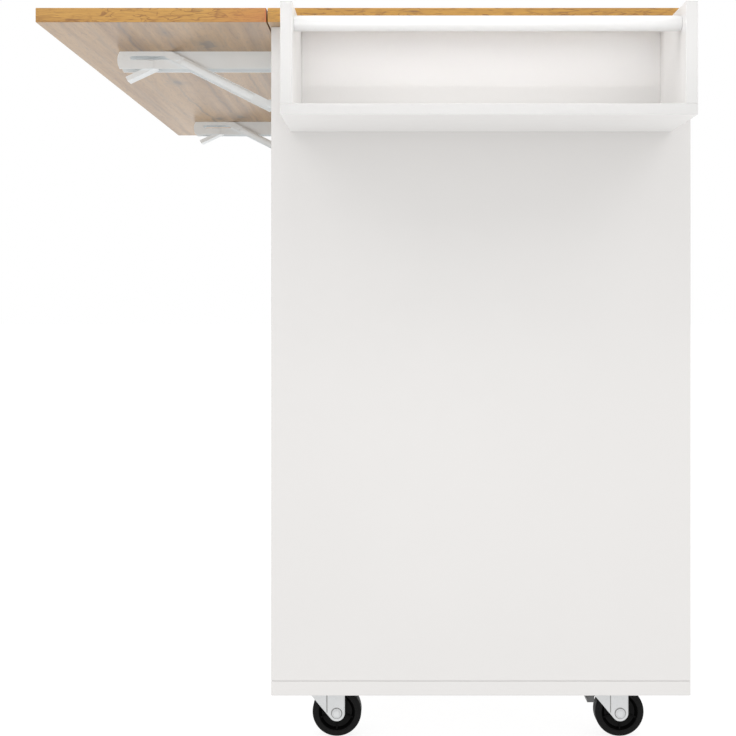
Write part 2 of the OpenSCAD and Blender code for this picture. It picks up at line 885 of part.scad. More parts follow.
module wheel_rack_front() { part(RUBBER) at_caster(-1, true) wheel(); }
module wheel_rack_back() { part(RUBBER) at_caster(-1, false) wheel(); }
module wheel_towel_front() { part(RUBBER) at_caster(1, true) wheel(); }
module wheel_towel_back() { part(RUBBER) at_caster(1, false) wheel(); }

// Brake: a pedal behind the wheel, with a toe below its end and a shoe that bears on the
// tread
brake_boss_r = 3.4;
brake_pin_r = 2;
toe_l = 9.5;
toe_h = 3.3;

module brake() {
    side = fork_x - fork_t - loose;
    // the shoe's tip, a hair off the tread on the line from the axle to the pivot
    lean = atan2(brake_y + trail, brake_up);
    tip = wheel_r + loose + 0.2;
    reach = norm([brake_y + trail, brake_up]) - tip;
    toe = [pedal_l * cos(pedal_tilt), -pedal_l * sin(pedal_tilt)];
    along_x(-side, side) {
        translate([brake_y, brake_z]) {
            circle(r = brake_boss_r);
            rotate(-pedal_tilt) translate([0, -pedal_t / 2]) square([pedal_l, pedal_t]);
            polygon([toe, toe - [0, toe_h], toe - [toe_l, toe_h],
                     toe + [-toe_l, toe_l * tan(pedal_tilt)]]);
            rotate(-lean) translate([-brake_boss_r, -reach]) square([2 * brake_boss_r, reach]);
        }
    }
    rod_x(brake_pin_r, -fork_x + loose, fork_x - loose, brake_y, brake_z);
}

module brake_rack_front() { part(BRAKE) at_caster(-1, true) brake(); }
module brake_towel_front() { part(BRAKE) at_caster(1, true) brake(); }

worktop();
side_rack();
side_towel();
bottom_board();
back_panel();
divider();
top_rails();
drawer_rails();
shelves();
shelf_pins();
rack_end_front();
rack_end_back();
rack_shelf();
rack_bar();
towel_end_front();
towel_end_back();
towel_bar();
wall_channel_near();
wall_channel_far();
leaf();
arm_near();
arm_far();
brace_near();
brace_far();
slot_pin_near();
slot_pin_far();
lever_near();
lever_far();
runners_fixed();
door_hinges_fixed();
drawer_left_front();
drawer_left_box();
drawer_left_knob();
drawer_left_runners();
drawer_right_front();
drawer_right_box();
drawer_right_knob();
drawer_right_runners();
door_left();
door_left_hinges();
door_left_knob();
door_right();
door_right_hinges();
door_right_knob();
caster_plates();
fork_rack_front();
fork_rack_back();
fork_towel_front();
fork_towel_back();
wheel_rack_front();
wheel_rack_back();
wheel_towel_front();
wheel_towel_back();
brake_rack_front();
brake_towel_front();
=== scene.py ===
import json
import math

import bmesh
import bpy
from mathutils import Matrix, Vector


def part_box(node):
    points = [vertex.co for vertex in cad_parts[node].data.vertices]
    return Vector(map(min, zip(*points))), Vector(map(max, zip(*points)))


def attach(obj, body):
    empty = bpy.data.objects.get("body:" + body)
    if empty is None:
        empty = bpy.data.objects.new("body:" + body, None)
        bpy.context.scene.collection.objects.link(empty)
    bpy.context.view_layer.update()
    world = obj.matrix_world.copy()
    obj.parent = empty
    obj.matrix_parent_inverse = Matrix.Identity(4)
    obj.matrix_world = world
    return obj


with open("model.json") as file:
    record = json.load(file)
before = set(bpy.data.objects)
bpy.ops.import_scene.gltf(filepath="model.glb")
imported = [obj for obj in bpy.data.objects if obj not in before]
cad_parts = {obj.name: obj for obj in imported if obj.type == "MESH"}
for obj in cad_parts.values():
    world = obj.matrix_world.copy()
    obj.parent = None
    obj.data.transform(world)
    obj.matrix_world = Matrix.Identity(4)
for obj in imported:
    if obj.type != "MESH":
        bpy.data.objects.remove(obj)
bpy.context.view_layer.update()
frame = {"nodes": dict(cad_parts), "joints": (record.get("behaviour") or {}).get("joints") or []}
NODES = frame["nodes"]
MM = 0.001

# ---------------------------------------------------------------- places of the frame, in mm

# where each turning joint stands
PIVOT = {joint["name"]: Vector(joint["pos_m"]) / MM
         for joint in frame["joints"] if "pos_m" in joint}


def box(node):
    """The lowest and the highest corner of a CAD node."""
    low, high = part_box(node)
    return low / MM, high / MM


def middle(node):
    low, high = box(node)
    return (low + high) / 2


BRACKETS = ("near", "far")
CORNERS = ("rack_front", "rack_back", "towel_front", "towel_back")
BRAKED = ("rack_front", "towel_front")
BACKWARD, DOWN = Vector((0, 1, 0)), Vector((0, 0, -1))
SIDES = (Vector((-1, 0, 0)), Vector((1, 0, 0)))

CABINET_MIDDLE = (box("side_rack")[0].x + box("side_towel")[1].x) / 2
CASTER_OFF_MIDDLE = (PIVOT["swivel_towel_front"].x - PIVOT["swivel_rack_front"].x) / 2
LEAF_EDGE, LEAF_UNDER = box("leaf")[0].yz
# the inner faces of the side panels, with the way that they look
SIDE_FACES = ((box("side_rack")[1].x, SIDES[1]), (box("side_towel")[0].x, SIDES[0]))

# ---------------------------------------------------------------- materials


def grey(value):
    return (value, value, value)


class Finish:
    """One procedural material. Its tree is drawn in the object's own coordinates, in metres."""

    def __init__(self, name, rough=0.5, metal=0.0, specular=0.5):
        self.material = bpy.data.materials.new(name)
        self.material.use_nodes = True
        self.tree = self.material.node_tree
        self.tree.nodes.clear()
        self.shader = self.add("ShaderNodeBsdfPrincipled")
        self.set(self.shader, **{"Roughness": rough, "Metallic": metal,
                                 "Specular IOR Level": specular})
        out = self.add("ShaderNodeOutputMaterial")
        self.join(self.shader.outputs["BSDF"], out.inputs["Surface"])
        coords = self.add("ShaderNodeTexCoord")
        self.place = coords.outputs["Object"]
        self.normal = coords.outputs["Normal"]

    def add(self, kind, **settings):
        made = self.tree.nodes.new(kind)
        for key, value in settings.items():
            setattr(made, key, value)
        return made

    def set(self, target, **values):
        for key, value in values.items():
            target.inputs[key].default_value = value

    def join(self, source, target):
        self.tree.links.new(source, target)

    def feed(self, socket, value):
        if isinstance(value, bpy.types.NodeSocket):
            self.join(value, socket)
        else:
            socket.default_value = value

    def split(self, vector):
        """The x, y and z of a vector."""
        made = self.add("ShaderNodeSeparateXYZ")
        self.join(vector, made.inputs[0])
        return made.outputs

    def stretch(self, scale, place=None, move=(0, 0, 0)):
        made = self.add("ShaderNodeMapping")
        self.join(place or self.place, made.inputs["Vector"])
        self.set(made, Scale=scale, Location=move)
        return made.outputs["Vector"]

    def noise(self, scale, detail=2.0, rough=0.5, place=None, twist=0.0):
        made = self.add("ShaderNodeTexNoise")
        self.join(place or self.place, made.inputs["Vector"])
        self.set(made, Scale=scale, Detail=detail, Roughness=rough, Distortion=twist)
        return made.outputs["Fac"]

    def math(self, kind, a, b=0.0):
        made = self.add("ShaderNodeMath", operation=kind)
        self.feed(made.inputs[0], a)
        self.feed(made.inputs[1], b)
        return made.outputs[0]

    def times(self, a, b):
        return self.math("MULTIPLY", a, b)

    def minus(self, a, b):
        return self.math("SUBTRACT", a, b)

    def span(self, value, low, high, to_low=0.0, to_high=1.0):
        """Maps low..high to to_low..to_high and holds the ends."""
        made = self.add("ShaderNodeMapRange")
        self.feed(made.inputs["Value"], value)
        self.set(made, **{"From Min": low, "From Max": high, "To Min": to_low, "To Max": to_high})
        return made.outputs["Result"]

    def ramp(self, value, stops):
        made = self.add("ShaderNodeValToRGB")
        elements = made.color_ramp.elements
        for at, colour in stops[2:]:
            elements.new(at)
        for element, (at, colour) in zip(elements, stops):
            element.position = at
            element.color = (*colour, 1)
        self.join(value, made.inputs["Fac"])
        return made.outputs["Color"]

    def clouded(self, cloud, dark, light):
        return self.ramp(cloud, [(0.3, dark), (0.7, light)])

    def distance(self, place):
        made = self.add("ShaderNodeVectorMath", operation="LENGTH")
        self.join(place, made.inputs[0])
        return made.outputs["Value"]

    def mix(self, factor, a, b):
        made = self.add("ShaderNodeMix", data_type="RGBA")
        self.feed(made.inputs["Factor"], factor)
        for socket, value in ((made.inputs[6], a), (made.inputs[7], b)):
            self.feed(socket, (*value, 1) if isinstance(value, tuple) else value)
        return made.outputs[2]

    def colour(self, value):
        self.join(value, self.shader.inputs["Base Color"])

    def roughness(self, scale, detail, low, high):
        """Roughness that wanders from low to high."""
        cloud = self.span(self.noise(scale, detail), 0.3, 0.7, low, high)
        self.join(cloud, self.shader.inputs["Roughness"])

    def relief(self, height, depth_mm, strength):
        made = self.add("ShaderNodeBump")
        self.set(made, Strength=strength, Distance=depth_mm * MM)
        self.join(height, made.inputs["Height"])
        self.join(made.outputs["Normal"], self.shader.inputs["Normal"])


def laminate(name, light, dark, rough=0.42, face=None):
    """White melamine board: an even tone with a fine pearl texture. face is the pair of tones of
    every face but the edge strip, which looks to -x: a lighter copy of the white, painted light
    that brightens those faces."""
    f = Finish(name, rough)
    cloud = f.noise(4.0, 3.0)
    colour = f.clouded(cloud, dark, light)
    if face:
        # painted light: faces that don't look to -x take the lighter face tones
        on_edge = f.math("LESS_THAN", f.split(f.normal)["X"], -0.5)
        colour = f.mix(on_edge, f.clouded(cloud, face[1], face[0]), colour)
    f.colour(colour)
    f.roughness(60.0, 2.0, rough - 0.04, rough + 0.04)
    f.relief(f.noise(1400.0, 2.0), 0.02, 0.25)
    return f.material


def enamel(name, light, dark, rough=0.35):
    """Powder-coated steel: slight orange peel."""
    f = Finish(name, rough)
    f.colour(f.clouded(f.noise(35.0, 3.0), dark, light))
    f.roughness(120.0, 2.0, rough - 0.06, rough + 0.06)
    f.relief(f.noise(900.0, 1.0), 0.03, 0.3)
    return f.material


def zinc(name, light, dark, rough=0.3):
    """Bright plated steel with faint brushing."""
    f = Finish(name, rough, metal=1.0)
    brushed = f.noise(1.0, 4.0, place=f.stretch((60.0, 900.0, 900.0)))
    f.colour(f.ramp(brushed, [(0.35, dark), (0.65, light)]))
    f.roughness(90.0, 3.0, rough - 0.08, rough + 0.1)
    f.relief(brushed, 0.01, 0.3)
    return f.material


def rubber(name, light, dark, rough=0.5, specular=0.5):
    """Moulded rubber or plastic with a fine matt grain."""
    f = Finish(name, rough, specular=specular)
    f.colour(f.clouded(f.noise(300.0, 3.0), dark, light))
    f.roughness(150.0, 2.0, rough - 0.08, rough + 0.08)
    f.relief(f.noise(1500.0, 2.0), 0.03, 0.3)
    return f.material


def wheel_rubber(name, tread, floor, spoke, specular):
    """Moulded wheel: its flat faces are told apart by how far they stand from the middle of the
    wheel, in mm. The side wall is farthest out, then the spokes, then the dish's floor. The
    spokes and the dish's floor are painted darker than the side wall, as painted shade in the
    recessed dish."""
    wall_off, spoke_off = 10.5, 8.5
    f = Finish(name, specular=specular)
    flat = f.math("GREATER_THAN", f.math("ABSOLUTE", f.split(f.normal)["X"]), 0.9)
    off_cabinet = f.math("ABSOLUTE", f.minus(f.split(f.place)["X"], CABINET_MIDDLE * MM))
    off_wheel = f.math("ABSOLUTE", f.minus(off_cabinet, CASTER_OFF_MIDDLE * MM))
    on_spoke = f.times(flat, f.math("LESS_THAN", off_wheel, wall_off * MM))
    on_floor = f.times(flat, f.math("LESS_THAN", off_wheel, spoke_off * MM))
    colour = f.clouded(f.noise(300.0, 3.0), grey(0.6 * tread), grey(tread))
    # painted shade: the spokes near black and the dish's floor darker than the side wall
    colour = f.mix(on_spoke, colour, grey(spoke))
    f.colour(f.mix(on_floor, colour, grey(floor)))
    f.roughness(150.0, 2.0, 0.42, 0.58)
    f.relief(f.noise(1500.0, 2.0), 0.03, 0.3)
    return f.material


class Board(Finish):
    """Oak-print board. The grain runs along x on the faces and the long edges, and along y on the
    short edges. Marks of the print, and a painted reflection that pales the lower face, are laid
    over its colour one by one."""

    def __init__(self, name, tint):
        super().__init__(name, rough=0.3, specular=0.62)
        self.tint = tint
        looks = self.split(self.normal)
        self.on_end = self.math("GREATER_THAN", self.math("ABSOLUTE", looks["X"]), 0.7)
        self.below = self.math("LESS_THAN", looks["Z"], -0.7)
        xyz = self.split(self.place)
        self.y = xyz["Y"]
        swapped = self.add("ShaderNodeCombineXYZ")
        for source, target in (("Y", "X"), ("X", "Y"), ("Z", "Z")):
            self.join(xyz[source], swapped.inputs[target])
        along = self.add("ShaderNodeMix", data_type="VECTOR")
        self.join(self.on_end, along.inputs["Factor"])
        self.join(self.place, along.inputs[4])
        self.join(swapped.outputs[0], along.inputs[5])
        self.grain = along.outputs[1]
        self.streak = self.drawn(2.4, 75.0, 4.0, 0.6)
        self.fine = self.drawn(16.0, 620.0, 3.0, 0.6)

    def drawn(self, along, across, detail, rough=0.5, move=(0, 0, 0), twist=0.0):
        """Noise drawn out along the grain."""
        place = self.stretch((along, across, across), self.grain, move)
        return self.noise(1.0, detail, rough, place, twist)

    def by_face(self, other, lower):
        """One strength on the lower face and another elsewhere."""
        return self.span(self.below, 0.0, 1.0, other, lower)

    def print_tone(self):
        """The print's lightness: streaks and broad waves, with nested ovals as in sawn oak."""
        cloud = self.drawn(1.7, 9.0, 2.0, 0.45, twist=0.4)
        ovals = self.span(self.math("PINGPONG", self.times(cloud, 20.0), 0.5), 0.0, 0.2, 1.0, 0.0)
        broad = self.drawn(0.9, 14.0, 2.0, move=(3.1, 0.4, 0.2))
        veil = self.span(self.drawn(1.0, 26.0, 3.0, 0.55, (7.7, 1.3, 0.0), 0.3), 0.56, 0.66)
        tone = self.math("ADD", self.times(self.streak, 0.60), self.times(broad, 0.40))
        tone = self.minus(tone, self.times(ovals, 0.05))
        tone = self.minus(tone, self.times(veil, 0.06))
        tone = self.math("MINIMUM", tone, 0.53)
        # the lower face's print is calmer
        calm = self.times(self.minus(0.485, tone), 0.55)
        return self.math("ADD", tone, self.times(calm, self.below))

    def print_colour(self, tone):
        stops = [(0.34, (0.20, 0.095, 0.026)), (0.43, (0.35, 0.175, 0.044)),
                 (0.51, (0.49, 0.262, 0.067)), (0.64, (0.62, 0.360, 0.105))]
        return self.ramp(tone, [(at, tuple(c * t for c, t in zip(colour, self.tint)))
                                for at, colour in stops])

    def add_short_marks(self, colour, pore):
        """Pores, wavy checks, flecks, and thin broken rings that show most on the ends."""
        crack = self.span(self.drawn(30.0, 210.0, 2.0, 0.6, twist=1.6), 0.60, 0.66)
        fleck = self.span(self.drawn(40.0, 120.0, 1.0, move=(0.0, 5.0, 0.0)), 0.68, 0.74)
        ring = self.drawn(26.0, 115.0, 2.0, move=(2.0, 0.0, 9.0), twist=0.9)
        vein = self.span(self.math("ABSOLUTE", self.minus(ring, 0.5)), 0.004, 0.022, 1.0, 0.0)
        broken = self.span(self.drawn(9.0, 40.0, 1.0, move=(0.0, 3.0, 1.0)), 0.42, 0.50)
        vein = self.times(self.times(vein, broken), self.span(self.on_end, 0.0, 1.0, 0.22, 0.62))
        fine = self.span(self.fine, 0.3, 0.7, 0.0, 0.40)
        for strength, stain in ((fine, (0.29, 0.130, 0.030)),
                                (self.times(pore, 0.60), (0.13, 0.055, 0.018)),
                                (self.times(crack, 0.60), (0.15, 0.055, 0.018)),
                                (self.times(fleck, 0.35), (0.14, 0.080, 0.045)),
                                (vein, (0.17, 0.065, 0.018))):
            colour = self.mix(strength, colour, stain)
        return colour

    def add_long_lines(self, colour, lines):
        """Long dark lines of the faces: scattered ones, and those of the list, each with its
        (y, half width, strength) in mm."""
        dark = self.drawn(1.1, 46.0, 2.0, move=(5.5, 2.2, 0.0), twist=0.5)
        dark = self.times(self.span(dark, 0.61, 0.72, 0.0, 0.8), self.by_face(1.0, 0.5))
        wave_mm = self.span(self.noise(1.0, 3.0, 0.55, self.stretch((5.0, 0.0, 0.0))),
                            0.3, 0.7, -11.0, 11.0)
        across = self.math("ADD", self.math("DIVIDE", self.y, MM), wave_mm)
        for y, half, strength in lines:
            off = self.math("ABSOLUTE", self.minus(across, y))
            line = self.times(self.span(off, 0.2 * half, half, strength, 0.0),
                              self.span(self.streak, 0.35, 0.6, 1.3, 0.5))
            line = self.times(line, self.minus(1.0, self.on_end))
            dark = self.math("MAXIMUM", dark, line)
        return self.mix(self.times(dark, self.by_face(0.40, 0.85)), colour, (0.085, 0.047, 0.028))

    def add_knots(self, colour, knots):
        """Each knot is (x, y, radius) in mm: a dark heart in a wide faint shade."""
        wobble = self.span(self.noise(70.0, 2.0), 0.3, 0.7, -0.25, 0.25)
        dark = 0.0
        for x, y, radius in knots:
            size = 1 / (radius * MM)
            scale = (size * 0.45, size, 0.0)
            move = tuple(-at * MM * by for at, by in zip((x, y, 0), scale))
            out = self.math("ADD", self.distance(self.stretch(scale, move=move)), wobble)
            knot = self.math("MAXIMUM", self.span(out, 0.28, 0.55, 1.0, 0.0),
                             self.span(out, 0.5, 1.4, 0.45, 0.0))
            dark = self.math("MAXIMUM", knot, dark)
        return self.mix(self.times(dark, self.by_face(0.50, 0.95)), colour, (0.050, 0.030, 0.022))

    def add_painted_reflection_below(self, colour, tone):
        """Painted reflection: the lower face is mixed towards a pale grey, as if washed out by
        the white surroundings that it reflects.
        """
        stops = [(0.34, (0.20, 0.165, 0.145)), (0.44, (0.28, 0.225, 0.180)),
                 (0.52, (0.36, 0.290, 0.215)), (0.64, (0.42, 0.340, 0.250))]
        return self.mix(self.times(self.below, 0.42), colour, self.ramp(tone, stops))

    def add_edge_strip(self, colour, edge_y):
        """The short edge grows redder towards the hinge and ends in a red glue line."""
        low, high = (edge_y - 0.75) * MM, (edge_y + 1.35) * MM
        warm = self.times(self.span(self.y, low, low + 80 * MM, 0.55, 0.0), self.on_end)
        warm = self.times(warm, self.span(self.streak, 0.3, 0.7, 1.4, 0.6))
        colour = self.mix(warm, colour, (0.38, 0.125, 0.036))
        glue = self.times(self.math("GREATER_THAN", self.y, low),
                          self.math("LESS_THAN", self.y, high))
        glue = self.times(glue, self.on_end)
        return self.mix(self.times(glue, 0.7), colour, (0.42, 0.080, 0.035))

    def finish_surface(self, pore):
        """Satin face. Pores are pressed into the upper face and the edges only."""
        satin = self.span(self.streak, 0.3, 0.7, 0.34, 0.285)
        self.join(satin, self.shader.inputs["Roughness"])
        height = self.times(self.minus(self.times(self.fine, 0.4), pore), self.by_face(1.0, 0.0))
        self.relief(height, 0.02, 0.2)


def oak(name, tint, knots=(), lines=(), edge_y=None):
    """Oak-print board. tint scales the print's red, green and blue. edge_y is where a reddish
    edge strip ends."""
    board = Board(name, tint)
    pore = board.span(board.drawn(60.0, 1300.0, 1.0), 0.60, 0.70)
    tone = board.print_tone()
    colour = board.add_short_marks(board.print_colour(tone), pore)
    colour = board.add_long_lines(colour, lines)
    if knots:
        colour = board.add_knots(colour, knots)
    # painted reflection: the lower face is paled towards grey
    colour = board.add_painted_reflection_below(colour, tone)
    if edge_y is not None:
        colour = board.add_edge_strip(colour, edge_y)
    board.colour(colour)
    board.finish_surface(pore)
    return board.material


# Marks that stand about where the photo has them under the leaf, in mm: (x, y, radius) of a
# knot, and (y, half width, strength) of a line
LEAF_KNOTS = ((-318, 226, 21), (-52, 316, 15), (285, 261, 17), (305, 303, 12), (-390, 270, 10))
LEAF_LINES = ((321, 3.2, 0.9), (155, 9.0, 0.5), (360, 6.0, 0.45), (270, 4.0, 0.55),
              (240, 2.5, 0.5), (196, 3.0, 0.5), (392, 5.0, 0.3))

WHITE = laminate("white_laminate", (0.650, 0.637, 0.625), (0.640, 0.627, 0.615))
# painted light: the rack boards' front edges are a darker copy of the white, toned against the
# rack lamps, and their other faces a much lighter copy that brightens the recess
RACK = laminate("rack_laminate_painted_light", (0.580, 0.573, 0.565), (0.570, 0.563, 0.555),
                face=((0.79, 0.78, 0.77), (0.78, 0.77, 0.76)))
# painted shade: the guard bar is a copy of the white with its tone set for the light that reaches
# it; its lower roughness is its lacquer
BAR = laminate("bar_lacquer_painted_shade", (0.615, 0.612, 0.608), (0.605, 0.602, 0.598), rough=0.34)
INSIDE = laminate("inside_laminate", (0.64, 0.63, 0.615), (0.625, 0.615, 0.60), rough=0.5)
OAK = oak("oak_print", (0.95, 0.93, 0.60))
LEAF_OAK = oak("oak_print_leaf", (0.97, 0.97, 0.82), LEAF_KNOTS, LEAF_LINES, LEAF_EDGE)
STEEL = enamel("bracket_enamel", (0.82, 0.85, 0.86), (0.79, 0.82, 0.83))
CASTER = enamel("caster_enamel", (0.67, 0.68, 0.685), (0.63, 0.64, 0.645), rough=0.3)
ZINC = zinc("plated_steel", (0.72, 0.73, 0.74), (0.58, 0.59, 0.60))
KNOB = zinc("satin_knob", (0.70, 0.69, 0.67), (0.60, 0.59, 0.57), rough=0.35)
WHEEL = wheel_rubber("black_rubber", tread=0.0095, floor=0.0035, spoke=0.0005, specular=0.08)
RIM = rubber("rim_shadow_rubber", grey(0.0012), grey(0.0006), specular=0.02)
# painted shade: a dark grey standing for the shade in the gaps round the axle's heads and in the
# fork's crease
PAINTED_SHADE_GREY = rubber("painted_shade_grey", (0.34, 0.34, 0.33), (0.24, 0.24, 0.235), rough=0.6)
BRAKE = rubber("grey_plastic", grey(0.10), grey(0.08), rough=0.4)

# ---------------------------------------------------------------- dress of the CAD nodes

# The material and the edge radius in mm by the record's slot, and of nodes with their own
FINISH = {"white_board": (WHITE, 0.7), "inside_board": (INSIDE, 0.5), "oak": (OAK, 0.8),
          "bracket_steel": (STEEL, 0.25), "caster_steel": (CASTER, 0.25),
          "wheel_black": (WHEEL, 0.4), "brake_grey": (BRAKE, 0.5), "knob_metal": (KNOB, 0.2)}
OWN_FINISH = {"leaf": (LEAF_OAK, 0.8), "rack_end_front": (RACK, 0.7),
              "rack_end_back": (RACK, 0.7), "rack_shelf": (RACK, 0.7), "rack_bar": (BAR, 0.7),
              "side_rack": (WHITE, 1.1), "bottom_board": (WHITE, 1.1)}
WELD_MM = 0.002
FLAT_ANGLE, BEVEL_ANGLE, SMOOTH_ANGLE = math.radians(0.5), math.radians(40), math.radians(35)


def smooth_group():
    """Smooth shading across edges that turn less than SMOOTH_ANGLE."""
    group = bpy.data.node_groups.new("smooth_by_angle", "GeometryNodeTree")
    group.interface.new_socket("Geometry", in_out="INPUT", socket_type="NodeSocketGeometry")
    group.interface.new_socket("Geometry", in_out="OUTPUT", socket_type="NodeSocketGeometry")
    start, end = group.nodes.new("NodeGroupInput"), group.nodes.new("NodeGroupOutput")
    faces = group.nodes.new("GeometryNodeSetShadeSmooth")
    edges = group.nodes.new("GeometryNodeSetShadeSmooth")
    faces.domain, edges.domain = "FACE", "EDGE"
    turn = group.nodes.new("GeometryNodeInputMeshEdgeAngle")
    small = group.nodes.new("FunctionNodeCompare")
    small.data_type, small.operation = "FLOAT", "LESS_EQUAL"
    small.inputs["B"].default_value = SMOOTH_ANGLE
    link = group.links.new
    link(start.outputs[0], faces.inputs["Geometry"])
    link(faces.outputs[0], edges.inputs["Geometry"])
    link(turn.outputs["Unsigned Angle"], small.inputs["A"])
    link(small.outputs[0], edges.inputs["Shade Smooth"])
    link(edges.outputs[0], end.inputs[0])
    return group


def soft_edges(obj, radius_mm, smoothing):
    """Rounds the sharp edges of a piece and shades the rest smooth."""
    weld = obj.modifiers.new("weld", "WELD")
    weld.merge_threshold = WELD_MM * MM
    flat = obj.modifiers.new("flat", "DECIMATE")
    flat.decimate_type = "DISSOLVE"
    flat.angle_limit = FLAT_ANGLE
    bevel = obj.modifiers.new("bevel", "BEVEL")
    bevel.width = radius_mm * MM
    bevel.segments = 2
    bevel.limit_method = "ANGLE"
    bevel.angle_limit = BEVEL_ANGLE
    smooth = obj.modifiers.new("smooth", "NODES")
    smooth.node_group = smoothing
    obj.modifiers.new("even", "WEIGHTED_NORMAL").keep_sharp = True


def dress():
    smoothing = smooth_group()
    for node, obj in NODES.items():
        slot = obj.data.materials[0].name.split(".")[0]
        material, radius_mm = OWN_FINISH.get(node, FINISH[slot])
        obj.material_slots[0].link = "OBJECT"
        obj.material_slots[0].material = material
        soft_edges(obj, radius_mm, smoothing)


dress()

# ---------------------------------------------------------------- small pieces, in mm

ROUND_STEPS = 32
SINK = 0.2          # how deep a piece is let into the part that carries it


class Shape:
    """Collects solids, drawn in millimetres, into one mesh."""

    def __init__(self):
        self.mesh = bmesh.new()

    def skin(self, rings, loop=False):
        """Faces between rings of equal length. The last ring meets the first in a loop, or
        else both have an end cap."""
        rings = [[self.mesh.verts.new(Vector(place) * MM) for place in ring] for ring in rings]
        pairs = list(zip(rings, rings[1:]))
        if loop:
            pairs.append((rings[-1], rings[0]))
        for a, b in pairs:
            for i in range(len(a)):
                j = (i + 1) % len(a)
                self.mesh.faces.new((a[i], a[j], b[j], b[i]))
        if not loop:
            self.mesh.faces.new(list(reversed(rings[0])))
            self.mesh.faces.new(rings[-1])

    def turned(self, profile, place, axis, loop=False):
        """A turned solid standing on place. profile is its (radius, height) points, where a
        radius may be a function of the step round the axis."""
        turn = Vector((0, 0, 1)).rotation_difference(axis).to_matrix()
        rings = []
        for radius, height in profile:
            ring = []
            for i in range(ROUND_STEPS):
                around = 2 * math.pi * i / ROUND_STEPS
                far = radius(i) if callable(radius) else radius
                point = Vector((far * math.cos(around), far * math.sin(around), height))
                ring.append(Vector(place) + turn @ point)
            rings.append(ring)
        self.skin(rings, loop)

    def piece(self, name, body, material):
        bmesh.ops.recalc_face_normals(self.mesh, faces=self.mesh.faces)
        for face in self.mesh.faces:
            face.smooth = True
        for edge in self.mesh.edges:
            edge.smooth = not edge.is_manifold or edge.calc_face_angle(0) < SMOOTH_ANGLE
        mesh = bpy.data.meshes.new(name)
        self.mesh.to_mesh(mesh)
        self.mesh.free()
        mesh.materials.append(material)
        obj = bpy.data.objects.new(name, mesh)
        bpy.context.scene.collection.objects.link(obj)
        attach(obj, body)


def cross(radius):
    """The radius of a cross recess at each step round it."""
    quarter, waist = ROUND_STEPS // 4, 0.36
    return lambda i: radius if i % quarter in (0, 1, quarter - 1) else radius * waist


def pan_head(radius, height):
    return [(radius, 0), (radius, height * 0.35), (radius * 0.86, height * 0.8),
            (radius * 0.62, height), (cross(radius * 0.56), height),
            (cross(radius * 0.42), height * 0.45)]


def flat_head(radius, height):
    return [(radius, 0), (radius * 0.97, height), (cross(radius * 0.62), height),
            (cross(radius * 0.5), height * 0.3)]


def button(radius, height):
    return [(radius, 0), (radius, height * 0.4), (radius * 0.93, height * 0.85),
            (radius * 0.8, height)]


ARM_SCREW, WALL_SCREW, PLATE_SCREW = pan_head(3.6, 2.1), pan_head(3.6, 2.0), pan_head(3.8, 2.2)
BOARD_SCREW, HINGE_SCREW = flat_head(4.0, 0.3), flat_head(2.6, 0.12)
KNOB_SCREW = flat_head(4.5, 0.42)
COVER, PAD = button(7.5, 0.5), button(4.0, 0.42)


# ------------------------------------------------ folding brackets

ARM_SHEET, WALL_SHEET, BRACE_RIVET_HEAD = 1.5, 2.0, 1.2
# from the leaf's hinge
ARM_SCREWS_OUT, WALL_SCREWS_DOWN = (22, 66, 110), (22, 42, 60)
# from the two ends of the brace, and how soon the rib rises there
RIB_START, RIB_STOP, RIB_RAMP = 24, 8, 3


def bracket_screws(end):
    """Screws through the arm into the leaf, and through the wall channel into the back."""
    hinge = PIVOT["leaf_fold"]
    x = PIVOT[f"brace_{end}_turn"].x
    screws = Shape()
    for out in ARM_SCREWS_OUT:
        screws.turned(ARM_SCREW, (x, hinge.y + out, LEAF_UNDER - ARM_SHEET), DOWN)
    screws.piece(f"arm_screws_{end}", "leaf", ZINC)
    wall_y = box(f"wall_channel_{end}")[0].y
    screws = Shape()
    for down in WALL_SCREWS_DOWN:
        screws.turned(WALL_SCREW, (x, wall_y + WALL_SHEET, hinge.z - down), BACKWARD)
    screws.piece(f"wall_screws_{end}", "cabinet", ZINC)


def brace_rib(end):
    """A pressed rib along each brace plate: a short face above and a wide one below."""
    pivot = PIVOT[f"brace_{end}_turn"]
    reach = middle(f"slot_pin_{end}") - pivot
    along = reach.normalized()
    up = Vector((0, -along.z, along.y))
    low, high = box(f"brace_{end}")
    face = (high.x - low.x) / 2 - BRACE_RIVET_HEAD
    section = [(3.4, -SINK), (3.1, 0.15), (0.9, 0.75), (0.3, 0.78), (-5.7, 0.32), (-6.3, -SINK)]
    # how far out along the brace, with the share of the rib's height there
    stop = reach.length - RIB_STOP
    run = [(RIB_START, 0.02), (RIB_START + RIB_RAMP, 1), (stop - RIB_RAMP, 1), (stop, 0.02)]
    rib = Shape()
    for side in SIDES:
        rings = []
        for out, share in run:
            rings.append([pivot + side * face + along * out + up * rise
                          + side * (height * share if height > 0 else height)
                          for rise, height in section])
        rib.skin(rings)
    rib.piece(f"brace_rib_{end}", f"brace_{end}", STEEL)


# ------------------------------------------------ casters

FORK_FACE = 14.7    # from the middle of a caster to the outer face of its fork's cheek
AXLE_HEAD = 2.0     # height of the axle's head on that face
PRESSED = 0.95      # height of the pressed fields on that face
FIELD_R = 9.9       # radius of the field round the axle
DIMPLE_R = 7.4      # radius of the dimple for the axle's head
FIELD_TOP = 71.6    # top of the fields, above the floor
FIELD_LEAN = 40     # degrees that the field leans with the fork's rear edge
CREASE_Y = -8.1     # middle of the upright crease, from the swivel
CREASE_HALF = 0.6   # half its width
BACK_FIELD_LOW, BACK_FIELD_Y = 34.0, 24.9

